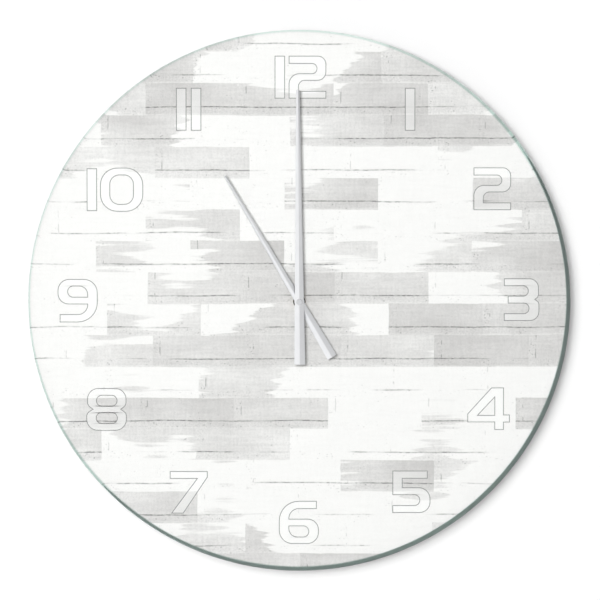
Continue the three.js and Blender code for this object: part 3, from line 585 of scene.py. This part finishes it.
# Digits in a square style, as closed outlines in millimetres from the lower left corner. Two edges of the 4
# that would lie on one line are a little apart, because the printed lines along them were lost otherwise.
DIGITS = {
    "0": (
        [(0, 0, 9.5), (23.8, 0, 9.5), (23.8, 24.3, 9.5), (0, 24.3, 9.5)],
        [(5.55, 4.2, 5), (18.25, 4.2, 5), (18.25, 20.1, 5), (5.55, 20.1, 5)],
    ),
    "1": ([(0, 0), (5.7, 0), (5.7, 23.57), (0, 23.57)],),
    "2": (
        [
            (0, 23.57), (20.7, 23.57, 4.6), (20.7, 9.86, 4.8), (5.56, 9.86, 3.2), (5.56, 4.2), (20.7, 4.2),
            (20.7, 0), (0, 0), (0, 13.89, 5.8), (15.4, 13.89, 2.6), (15.4, 19.18, 2.6), (0, 19.18),
        ],
    ),
    "3": (
        [
            (0, 23.57), (19.3, 23.57, 5.2), (19.3, 13.3, 2.6), (17.4, 11.9), (19.6, 10.5, 2.6),
            (19.6, 0, 5.2), (0, 0), (0, 4.2), (13.7, 4.2, 2.7), (13.7, 9.7, 2.7), (2.15, 9.7), (2.15, 13.9),
            (13.3, 13.9, 2.7), (13.3, 19.3, 2.7), (0, 19.3),
        ],
    ),
    "4": (
        [
            (13.3, 23.57), (20.2, 23.57), (20.2, 8.5), (23.5, 8.5), (23.5, 4.17), (20.2, 4.17),
            (20.2, 0), (15.0, 0), (15.0, 4.23), (0, 4.23), (0, 8.96),
        ],
        [(15.0, 17.9), (15.0, 8.25), (6.0, 8.25)],
    ),
    "5": (
        [
            (0, 23.57), (19.5, 23.57), (19.5, 19.1), (5.6, 19.1), (5.6, 14.25), (21.06, 14.25, 6.5),
            (21.06, 0, 6), (0, 0), (0, 4.3), (15.0, 4.3, 2.8), (15.0, 9.95, 2.8), (0, 9.95),
        ],
    ),
    "6": (
        [
            (21.0, 24.0), (0, 24.0, 11), (0, 0, 7.5), (22.1, 0, 6.3), (22.1, 14.0, 6), (5.7, 14.0),
            (5.7, 19.5, 5.3), (21.0, 19.5),
        ],
        [(5.7, 9.86), (16.4, 9.86, 2.9), (16.4, 4.03, 2.9), (5.7, 4.03, 4.5)],
    ),
    "7": ([(0, 23.6), (21.0, 23.6), (21.0, 20.2), (7.5, 0), (0.6, 0), (14.96, 19.35), (0, 19.35)],),
    "8": (
        [
            (0.5, 23.65, 6), (22.2, 23.65, 6), (22.2, 14.1, 3.5), (19.35, 11.9), (22.4, 9.9, 3.5),
            (22.4, 0, 6.3), (0, 0, 6.3), (0, 9.9, 3.5), (3.4, 11.9), (0.5, 14.1, 3.5),
        ],
        [(5.8, 13.8, 2.85), (16.85, 13.8, 2.85), (16.85, 19.5, 2.85), (5.8, 19.5, 2.85)],
        [(5.65, 4.2, 2.8), (17.0, 4.2, 2.8), (17.0, 9.86, 2.8), (5.65, 9.86, 2.8)],
    ),
}
DIGITS["9"] = tuple([(22.1 - c[0], 24.0 - c[1], *c[2:]) for c in loop] for loop in DIGITS["6"])

# Middle of each numeral, in millimetres right of and above the hand axis
NUMERALS = {
    "12": (0.6, 123.9), "1": (61.1, 106.2), "2": (106.6, 62.3), "3": (123.0, 0.9), "4": (104.9, -59.7),
    "5": (62.2, -106.0), "6": (-0.3, -123.1), "7": (-61.4, -106.3), "8": (-106.9, -60.1), "9": (-122.7, 0.3),
    "10": (-101.9, 61.8), "11": (-61.1, 106.2),
}
# Space between two digits, in millimetres
SPACING = {"10": 1.7, "12": 2.06, "11": 2.5}


def draw_digit(digit, line):
    """One digit as a mesh: a printed line round its edge and the field inside it, flat in x and y."""
    drawing = bpy.data.curves.new("digit_" + digit, "CURVE")
    drawing.dimensions = "2D"
    drawing.fill_mode = "BOTH"
    for loop in DIGITS[digit]:
        points = outline([tuple(n * MM for n in corner) for corner in loop], facets=8)
        spline = drawing.splines.new("POLY")
        spline.points.add(len(points) - 1)
        for point, place in zip(spline.points, points):
            point.co = (place.x, place.y, 0, 1)
        spline.use_cyclic_u = True
    piece = bpy.data.objects.new(drawing.name, drawing)
    bpy.context.scene.collection.objects.link(piece)
    activate(piece)
    bpy.ops.object.convert(target="MESH")
    piece = bpy.context.object
    piece.data.materials.append(bpy.data.materials["printed_line"])
    piece.data.materials.append(bpy.data.materials["printed_brick_veiled"])
    bpy.ops.object.mode_set(mode="EDIT")
    bpy.ops.mesh.select_all(action="SELECT")
    bpy.ops.mesh.remove_doubles(threshold=WELD)
    bpy.ops.mesh.inset(thickness=line, use_even_offset=True, use_boundary=True)
    piece.active_material_index = 1
    bpy.ops.object.material_slot_assign()
    bpy.ops.object.mode_set(mode="OBJECT")
    return piece


def build_numerals(scene):
    """Draws each digit once and sets copies of it round the dial."""
    look = scene.wall_clock_print
    numerals = scene.wall_clock_numerals
    # Screen ink is dense, matt and even, with a faint grain from the mesh.
    finish("printed_line", numerals.ink, 0.6, grain=0.4, shade=0.08)
    brick_print("printed_brick_veiled", look, numerals.veil)
    drawn = {digit: draw_digit(digit, numerals.line) for digit in DIGITS}
    # The ink lies a hair in front of the film, so that the two don't share a surface.
    front = film_back - look.thickness - numerals.layer / 3
    for word, (x, z) in NUMERALS.items():
        gap = SPACING.get(word, 0) * MM
        wide = sum(drawn[d].dimensions.x for d in word) + gap * (len(word) - 1)
        left = -wide / 2
        copies = []
        for digit in word:
            copy = bpy.data.objects.new(word, drawn[digit].data.copy())
            scene.collection.objects.link(copy)
            copy.location = (x * MM + left, front, z * MM - drawn[digit].dimensions.y / 2)
            copy.rotation_euler = (math.pi / 2, 0, 0)
            left += drawn[digit].dimensions.x + gap
            copies.append(copy)
        activate(copies[0])
        for copy in copies[1:]:
            copy.select_set(True)
        bpy.ops.object.join()
        numeral = bpy.context.object
        modify(numeral, "SOLIDIFY", thickness=numerals.layer, offset=1.0)
        settle(numeral, "numeral_" + word, "clock_body", smooth=20)
    for master in drawn.values():
        bpy.data.objects.remove(master)


def build_hands(scene):
    """Eases the edges of both hands and rounds the arbor's end."""
    finishes = scene.wall_clock_finishes
    # Aluminium sheet pressed to a ridge and anodised: each slope mirrors its own side of the room, softly.
    satin = finish(
        "anodised_aluminium", finishes.hands, 0.36, grain=0.35, shade=0.03, relief=0.002, metallic=0.9
    )
    # Turned steel: greyer than the hands, its rounded edge darker where it faces away from the light.
    steel = finish("turned_steel", finishes.arbor, 0.25, grain=0.3, shade=0.04, relief=0.002, metallic=1.0)
    table = (
        ("minute_hand", "minute", satin, finishes.easing / 2),
        ("hour_hand", "hour", satin, finishes.easing / 2),
        ("hand_cap", "minute", steel, finishes.arbor_round),
    )
    for node, body, metal, easing in table:
        piece = eased_copy(node, easing, angle=12, segments=3)
        assign(piece, [metal], lambda face: 0)
        settle(piece, node + "_eased", body, [node], smooth=10)


def build_housing(scene):
    """Eases the edges of the mouldings, the hanger, the tape and the spacers."""
    finishes = scene.wall_clock_finishes
    # Injection-moulded ABS from a spark-eroded tool: near black, a fine even grain that scatters highlights.
    moulded = finish("moulded_abs", finishes.case, 0.42, grain=0.35, shade=0.1, relief=0.02)
    # Cold-rolled steel strip, bright zinc plated: fine lines along the strip and a bluish shine.
    drawn = {"metallic": 1.0, "stretch": (1, 1, 0.05)}
    strip = finish("zinc_plated_strip", linear("#B4B8BD"), 0.3, grain=0.3, shade=0.1, relief=0.003, **drawn)
    # Closed-cell polyethylene foam: matt, small even cells where it is cut, their hollows in painted shade.
    foam = finish("closed_cell_foam", finishes.foam, 0.85, grain=0.5, shade=0.35, relief=0.06)
    # Soft moulded rubber, greyish and slightly see-through, dull all over.
    milky = {"Subsurface Weight": 0.2}
    rubber = finish("moulded_rubber", finishes.bumper, 0.6, grain=0.8, shade=0.05, relief=0.01, **milky)
    table = (
        ("movement_case", moulded, "black_plastic", 1.0),
        ("movement_cover", moulded, "black_plastic", 1.0),
        ("hanger", strip, "steel", 1.0),
        ("adhesive_pad", foam, "foam", 1.0),
        ("spacer_left", rubber, "spacer_rubber", 4.0),
        ("spacer_right", rubber, "spacer_rubber", 4.0),
    )
    # The spacers are rounder than the rest by their share.
    for node, material, slot, share in table:
        piece = eased_copy(node, finishes.easing * share)
        assign(piece, [material], lambda face: 0)
        settle(piece, node + "_eased", "clock_body", [node], flat_faces=True)


def build_knob(scene):
    """Eases the edges of the setting knob."""
    finishes = scene.wall_clock_finishes
    moulded = bpy.data.materials["moulded_abs"]
    knob = eased_copy("setting_knob", finishes.easing)
    assign(knob, [moulded], lambda face: 0)
    settle(knob, "setting_knob_eased", "setting", ["setting_knob"], flat_faces=True)


def build_cell(scene):
    """Turns the dry cell from its section: a jacket rolled over both ends, steel ends and a sealing ring."""
    finishes = scene.wall_clock_finishes
    # Shrunk plastic jacket, plain: glossy, with a very shallow ripple from shrinking.
    jacket = finish("shrunk_jacket", finishes.jacket, 0.22, grain=2.5, shade=0.03, relief=0.02)
    # Nickel-plated steel cup and cap: bright, with faint drawing rings round the axis.
    plated = finish(
        "nickel_plated_steel", linear("#C9C5BC"), 0.22, grain=0.4, shade=0.05, relief=0.002, metallic=1.0
    )
    # Nylon sealing ring between the cap and the cup: off-white, satin.
    nylon = finish("nylon_ring", linear("#D9D6CC"), 0.5, grain=0.5, shade=0.04)
    axis_y = (cell_high.y + cell_low.y) / 2
    axis_z = (cell_high.z + cell_low.z) / 2
    wide = (cell_high.z - cell_low.z) / 2 / MM
    long = (cell_high.x - cell_low.x) / MM
    # The jacket ends here; the cap stands past it.
    end = long - 1.3
    # Distance along the axis and out from it, with the rounding, from the flat end to the tip of the cap.
    profile = [
        (0, 0), (0, 4.4, 0.3), (0.45, 4.9), (0.45, 6.1), (0.1, 6.3), (0.1, wide, 0.5), (end, wide, 0.5),
        (end, 6.4), (end - 0.25, 6.2), (end - 0.25, 4.1), (end, 3.9), (end, 2.75, 0.3), (long, 2.75, 0.35),
        (long, 0),
    ]
    points = [
        Vector((cell_low.x + p.x, axis_y, axis_z + p.y))
        for p in outline([tuple(n * MM for n in corner) for corner in profile], facets=4)
    ]
    cell = turned(points, 96, (0, axis_y, axis_z), (1, 0, 0), closed=False)
    jacket_edge, ring_edge = 6.25, 4.0

    def part(face):
        """Which of the three materials a face shows."""
        out = math.hypot(face.center.y - axis_y, face.center.z - axis_z) / MM
        along = (face.center.x - cell_low.x) / MM
        if out > jacket_edge:
            return 0
        return 2 if along > end - 1 and out > ring_edge else 1

    assign(cell, [jacket, plated, nylon], part)
    settle(cell, "dry_cell", "clock_body", ["cell"])


def build_works(scene):
    """Gives the wheels, the coil, the board and the other inner parts their own surfaces."""
    finishes = scene.wall_clock_finishes
    rolled = {"metallic": 1.0, "stretch": (0.05, 1, 1)}
    lathed = {"metallic": 1.0, "stretch": (0.2, 3, 0.2)}
    surfaces = {
        # Natural acetal, injection moulded: milky, slippery-looking, satin.
        "white_plastic": finish("natural_acetal", finishes.acetal, 0.34, grain=0.5, shade=0.04, relief=0.004),
        # Tinted acetal, moulded the same way: honey-coloured, with a little more painted shade in its
        # hollows.
        "amber_plastic": finish("tinted_acetal", finishes.amber, 0.3, grain=0.5, shade=0.08, relief=0.004),
        # Bright rolled steel: fine straight rolling lines and a clear shine.
        "steel": finish(
            "rolled_steel", linear("#A9ABAF"), 0.28, grain=0.25, shade=0.1, relief=0.003, **rolled
        ),
        # Free-cutting brass, turned: warm, with fine rings across the axis.
        "brass": finish(
            "turned_brass", linear("#D2B066"), 0.24, grain=0.3, shade=0.08, relief=0.004, **lathed
        ),
        # Sintered ferrite: charcoal grey, faintly sparkling, rather rough.
        "magnet": finish("sintered_ferrite", linear("#3A3A3D"), 0.5, grain=0.25, shade=0.25, relief=0.02),
        # Epoxy-glass board under a green mask: glossy, its weave just showing.
        "board": finish("masked_board", linear("#2E6B45"), 0.25, grain=0.6, shade=0.15, relief=0.01),
        # Cast epoxy over the chip: black, glossy, slightly wavy.
        "epoxy": finish("cast_epoxy", linear("#101212"), 0.18, grain=1.6, shade=0.1, relief=0.05),
        "black_plastic": bpy.data.materials["moulded_abs"],
        "foam": bpy.data.materials["closed_cell_foam"],
        "spacer_rubber": bpy.data.materials["moulded_rubber"],
        "hand_metal": bpy.data.materials["turned_steel"],
        "glass": bpy.data.materials["float_glass"],
        "print": bpy.data.materials["printed_brick"],
        "cell_jacket": bpy.data.materials["shrunk_jacket"],
        "copper": wound_copper(),
    }
    for node in nodes.values():
        for place in node.material_slots:
            place.material = surfaces[place.material.name.split(".")[0]]


def wound_copper():
    """Enamelled copper wire in close turns, varnished: painted shade darkens the grooves between turns.

    The real wire is 0.03 mm thick; its turns are drawn 0.25 mm apart so that they show.
    """
    material, tree = new_tree("enamelled_copper")
    pitch = 0.25
    waves = 2 / (math.tau * pitch)
    inputs = {"Vector": millimetres(tree), "Scale": waves, "Distortion": 0.3, "Detail": 1.0}
    turns = add_node(tree, "ShaderNodeTexWave", inputs, bands_direction="X").outputs["Fac"]
    # Painted shade: where the bump is low, between two turns, the copper takes the darker brown.
    tone = mixed(tree, turns, linear("#6E3A1C"), linear("#C8793F"))
    bump = add_node(tree, "ShaderNodeBump", {"Height": turns, "Distance": 0.05 * MM}).outputs[0]
    inputs = {"Base Color": tone, "Metallic": 0.9, "Roughness": 0.3, "Normal": bump, "Coat Weight": 0.4}
    shader = add_node(tree, "ShaderNodeBsdfPrincipled", inputs).outputs[0]
    add_node(tree, "ShaderNodeOutputMaterial", {"Surface": shader})
    return material


def backdrop(name, colour, glow, lets_light_in):
    """A matt painted surface that keeps shadows, and that lets a view from behind it through.

    With lets_light_in, light that falls straight on the back of the clock passes too, so that a view from
    behind is lit; light that has already bounced meets the surface as it would a real wall.
    """
    material, tree = new_tree(name)
    shaded = tuple(c * 0.985 for c in colour[:3]) + (1.0,)
    tone = mixed(tree, mottle(tree, millimetres(tree), 40), shaded, tuple(colour))
    painted = add_node(tree, "ShaderNodeBsdfDiffuse", {"Color": tone}).outputs[0]
    path = add_node(tree, "ShaderNodeLightPath").outputs
    shown = maths(tree, "MULTIPLY", path["Is Camera Ray"], glow)
    lift = add_node(tree, "ShaderNodeEmission", {"Color": tuple(colour), "Strength": shown}).outputs[0]
    lit = add_node(tree, "ShaderNodeAddShader", {0: painted, 1: lift}).outputs[0]
    unseen = add_node(tree, "ShaderNodeNewGeometry").outputs["Backfacing"]
    if lets_light_in:
        for ray, bounces in (("Is Shadow Ray", 0.5), ("Is Diffuse Ray", 1.5)):
            early = maths(tree, "LESS_THAN", path["Diffuse Depth"], bounces)
            unseen = maths(tree, "MAXIMUM", unseen, maths(tree, "MULTIPLY", early, path[ray]))
    nothing = add_node(tree, "ShaderNodeBsdfTransparent").outputs[0]
    seen = add_node(tree, "ShaderNodeMixShader", {0: unseen, 1: lit, 2: nothing}).outputs[0]
    add_node(tree, "ShaderNodeOutputMaterial", {"Surface": seen})
    return material


def place_plane(name, size, location, rotation, material):
    """A stage plane: a floor or a wall."""
    bpy.ops.object.select_all(action="DESELECT")
    bpy.ops.mesh.primitive_plane_add(size=size, location=location, rotation=rotation)
    plane = bpy.context.object
    plane.name = name
    plane.data.materials.append(material)
    return plane


def place_lamp(name, where, size, share, mirrored=True):
    """A round soft lamp aimed at the origin, its power set so that a white surface there renders at share.

    Without mirrored, glossy and clear surfaces don't show the lamp's own disc.
    """
    bpy.ops.object.light_add(type="AREA", location=where)
    lamp = bpy.context.object
    lamp.name = name
    lamp.data.shape = "DISK"
    lamp.data.size = size
    away = Vector(where)
    lamp.rotation_euler = away.to_track_quat("Z", "Y").to_euler()
    lamp.data.energy = share * math.pi**2 * away.length_squared
    lamp.visible_glossy = mirrored
    lamp.visible_transmission = mirrored


def build_stage(scene):
    """Wall, floor, lamps, plain surroundings and the camera."""
    stage = scene.wall_clock_stage
    turn, rise = math.radians(stage.turned), math.radians(stage.raised)
    aim = Vector((stage.view_side, glass_low.y, stage.view_rise))
    direction = Vector((math.sin(turn) * math.cos(rise), -math.cos(turn) * math.cos(rise), math.sin(rise)))
    where = aim + direction * stage.distance
    bpy.ops.object.camera_add(location=where, rotation=direction.to_track_quat("Z", "Y").to_euler())
    camera = bpy.context.object
    camera.data.sensor_width = 36
    camera.data.lens = camera.data.sensor_width * stage.distance / stage.view_width
    scene.camera = camera

    wall_size, wall_middle, floor_size = 4, 0.6, 6
    wall = backdrop("painted_wall", stage.wall, stage.lift, True)
    place_plane("wall", wall_size, (0, stage.gap, wall_middle), (math.pi / 2, 0, 0), wall)
    ground = backdrop("pale_floor", stage.floor, stage.glow, False)
    floor = place_plane("floor", floor_size, (0, 0, -stage.drop), (0, 0, 0), ground)
    # The hands would mirror the floor as a dark field.
    floor.visible_glossy = False
    # The key lamp stands in front, up and to the left, so that shadows fall to the lower right. The glass
    # would mirror it as a white disc.
    key_place, back_place, back_size = (-0.327, -2.0, 0.327), (0.9, 1.8, 0.9), 0.9
    place_lamp("key", key_place, stage.key_size, stage.key, mirrored=False)
    place_lamp("back_fill", back_place, back_size, stage.back)
    light_surroundings(scene, stage)
    scene.view_settings.view_transform = "Standard"


def light_surroundings(scene, stage):
    """Plain white surroundings: a soft fill for matt surfaces, brighter towards the upper left.

    The camera and clear surfaces see them at full white, and glossy surfaces find the left brighter than the
    right, so that the two slopes of a hand differ.
    """
    world = bpy.data.worlds.new("plain_studio")
    scene.world = world
    world.use_nodes = True
    # Each ray asks the world for its own light, which only rays that leave a surface can do.
    world.cycles.sampling_method = "NONE"
    tree = world.node_tree
    tree.nodes.clear()
    path = add_node(tree, "ShaderNodeLightPath").outputs
    direct = maths(tree, "MAXIMUM", path["Is Camera Ray"], path["Is Glossy Ray"])
    direct = maths(tree, "MAXIMUM", direct, path["Is Transmission Ray"])
    where = add_node(tree, "ShaderNodeTexCoord").outputs["Generated"]

    def towards(direction):
        return vectors(tree, "DOT_PRODUCT", where, direction, output="Value")

    upper_left = towards((-math.sqrt(0.5), 0, math.sqrt(0.5)))
    even = maths(tree, "MULTIPLY_ADD", upper_left, stage.side * stage.fill, stage.fill)
    sheen = maths(tree, "MULTIPLY", path["Is Glossy Ray"], stage.sheen)
    bright = maths(tree, "MULTIPLY_ADD", towards((-0.95, 0, -0.3)), sheen, 1.0)
    strength = add_node(tree, "ShaderNodeMix", {0: direct, 2: even, 3: bright}, data_type="FLOAT").outputs[0]
    light = add_node(tree, "ShaderNodeBackground", {"Color": WHITE, "Strength": strength}).outputs[0]
    add_node(tree, "ShaderNodeOutputWorld", {"Surface": light})


# Operators and panel


class WALLCLOCK_OT_glass(bpy.types.Operator):
    """Model the glass disc"""

    bl_idname = "wallclock.glass"
    bl_label = "Glass disc"

    def execute(self, context):
        build_glass(context.scene)
        return {"FINISHED"}


class WALLCLOCK_OT_print(bpy.types.Operator):
    """Model the printed film behind the glass"""

    bl_idname = "wallclock.print"
    bl_label = "Print"

    def execute(self, context):
        build_print(context.scene)
        return {"FINISHED"}


class WALLCLOCK_OT_numerals(bpy.types.Operator):
    """Draw the twelve numerals"""

    bl_idname = "wallclock.numerals"
    bl_label = "Numerals"

    def execute(self, context):
        build_numerals(context.scene)
        return {"FINISHED"}


class WALLCLOCK_OT_hands(bpy.types.Operator):
    """Model the hands and their cap"""

    bl_idname = "wallclock.hands"
    bl_label = "Hands and cap"

    def execute(self, context):
        build_hands(context.scene)
        return {"FINISHED"}


class WALLCLOCK_OT_housing(bpy.types.Operator):
    """Model the movement's housing, the hanger, the tape, the spacers and the knob"""

    bl_idname = "wallclock.housing"
    bl_label = "Housing"

    def execute(self, context):
        build_housing(context.scene)
        build_knob(context.scene)
        return {"FINISHED"}


class WALLCLOCK_OT_cell(bpy.types.Operator):
    """Model the dry cell"""

    bl_idname = "wallclock.cell"
    bl_label = "Cell"

    def execute(self, context):
        build_cell(context.scene)
        return {"FINISHED"}


class WALLCLOCK_OT_works(bpy.types.Operator):
    """Give the wheels, coil and board their surfaces"""

    bl_idname = "wallclock.works"
    bl_label = "Works"

    def execute(self, context):
        build_works(context.scene)
        return {"FINISHED"}


class WALLCLOCK_OT_stage(bpy.types.Operator):
    """Set the wall, floor, lamps and camera"""

    bl_idname = "wallclock.stage"
    bl_label = "Stage"

    def execute(self, context):
        build_stage(context.scene)
        return {"FINISHED"}


STEPS = (
    WALLCLOCK_OT_glass,
    WALLCLOCK_OT_print,
    WALLCLOCK_OT_numerals,
    WALLCLOCK_OT_hands,
    WALLCLOCK_OT_housing,
    WALLCLOCK_OT_cell,
    WALLCLOCK_OT_works,
    WALLCLOCK_OT_stage,
)

SETTINGS = {
    "wall_clock_glass": GlassSettings,
    "wall_clock_print": PrintSettings,
    "wall_clock_numerals": NumeralSettings,
    "wall_clock_finishes": FinishSettings,
    "wall_clock_stage": StageSettings,
}


class WALLCLOCK_PT_panel(bpy.types.Panel):
    """Lists the steps and the settings of the wall clock."""

    bl_label = "Glass wall clock"
    bl_space_type = "VIEW_3D"
    bl_region_type = "UI"
    bl_category = "Wall clock"

    def draw(self, context):
        for step in STEPS:
            self.layout.operator(step.bl_idname)
        for holder, group in SETTINGS.items():
            box = self.layout.box()
            box.label(text=group.__doc__)
            for name in group.__annotations__:
                box.prop(getattr(context.scene, holder), name)


def register():
    """Registers every class and hangs the settings on the scene."""
    for kind in (*SETTINGS.values(), *STEPS, WALLCLOCK_PT_panel):
        bpy.utils.register_class(kind)
    for holder, group in SETTINGS.items():
        setattr(bpy.types.Scene, holder, bpy.props.PointerProperty(type=group))


def unregister():
    """Takes everything off again."""
    for holder in SETTINGS:
        delattr(bpy.types.Scene, holder)
    for kind in (WALLCLOCK_PT_panel, *STEPS, *SETTINGS.values()):
        bpy.utils.unregister_class(kind)


def main():
    """Runs every step."""
    register()
    for step in STEPS:
        group, name = step.bl_idname.split(".")
        getattr(getattr(bpy.ops, group), name)()


if __name__ == "__main__":
    main()
